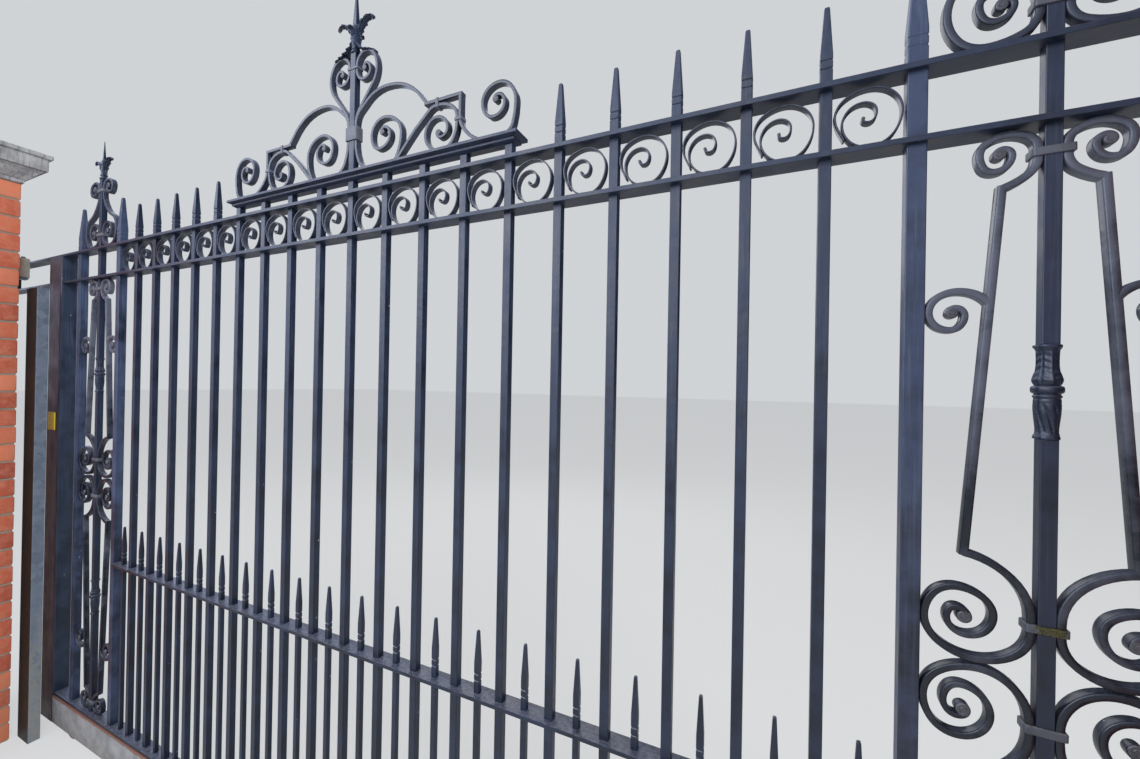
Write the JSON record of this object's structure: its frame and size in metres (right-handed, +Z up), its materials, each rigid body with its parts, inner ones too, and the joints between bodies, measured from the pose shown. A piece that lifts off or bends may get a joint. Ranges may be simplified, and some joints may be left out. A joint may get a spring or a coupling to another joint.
{
  "type": "sliding driveway gate",
  "caption": "Wrought iron sliding driveway gate with spear bars, scrolled frieze, crest and side panels, between two brick piers.",
  "frame": {"origin": "middle of the left brick pier's foot, at ground level", "axes": "+X along the closed gate to the right as seen from the street, +Y away from the street, +Z up"},
  "size_m": [4.739, 0.703, 2.71],
  "materials": {
    "iron_paint": "satin blue-black paint on wrought iron",
    "stile_paint": "dulled brown-black paint on steel box",
    "beam_paint": "weathered grey-green paint with rust at the top edge",
    "wheel_steel": "machined steel",
    "yellow_plate": "plain yellow enamel",
    "brick": "red clay brick laid in pale mortar",
    "stone": "weathered cast stone",
    "post_steel": "galvanised steel, painted black on the front",
    "galvanised_steel": "galvanised",
    "roller_plastic": "pale nylon"
  },
  "bodies": {
    "piers": {"left_pier": "brick", "left_pier_cap": "stone", "right_pier": "brick", "right_pier_cap": "stone", "guide_post": "post_steel", "guide_bracket": "galvanised_steel", "guide_roller": "roller_plastic"},
    "leaf": {"left_stile": "stile_paint", "right_stile": "stile_paint", "top_rail": "iron_paint", "second_rail": "iron_paint", "dog_rail": "iron_paint", "bottom_rail": "iron_paint", "bottom_beam": "beam_paint", "track_wheels": "wheel_steel", "left_outer_bar": "iron_paint", "left_inner_bar": "iron_paint", "right_inner_bar": "iron_paint", "right_outer_bar": "iron_paint", "left_spear_bars": "iron_paint", "middle_bars": "iron_paint", "right_spear_bars": "iron_paint", "dog_bars": "iron_paint", "frieze_scrolls": "iron_paint", "left_panel_bar": "iron_paint", "right_panel_bar": "iron_paint", "left_panel_bosses": "iron_paint", "right_panel_bosses": "iron_paint", "left_upper_scrolls": "iron_paint", "left_lower_scrolls": "iron_paint", "right_upper_scrolls": "iron_paint", "right_lower_scrolls": "iron_paint", "left_panel_collars": "iron_paint", "right_panel_collars": "iron_paint", "left_finial_scrolls": "iron_paint", "right_finial_scrolls": "iron_paint", "left_finial_leaf": "iron_paint", "right_finial_leaf": "iron_paint", "crest_ledge": "iron_paint", "crest_bar": "iron_paint", "crest_left_scrolls": "iron_paint", "crest_right_scrolls": "iron_paint", "crest_collars": "iron_paint", "crest_leaf": "iron_paint", "reflector_plate": "yellow_plate"}
  },
  "joints": [
    {"name": "leaf_slide", "type": "slide", "parent": "piers", "child": "leaf", "axis": [-1, 0, 0], "range_m": [0, 3.6]}
  ]
}
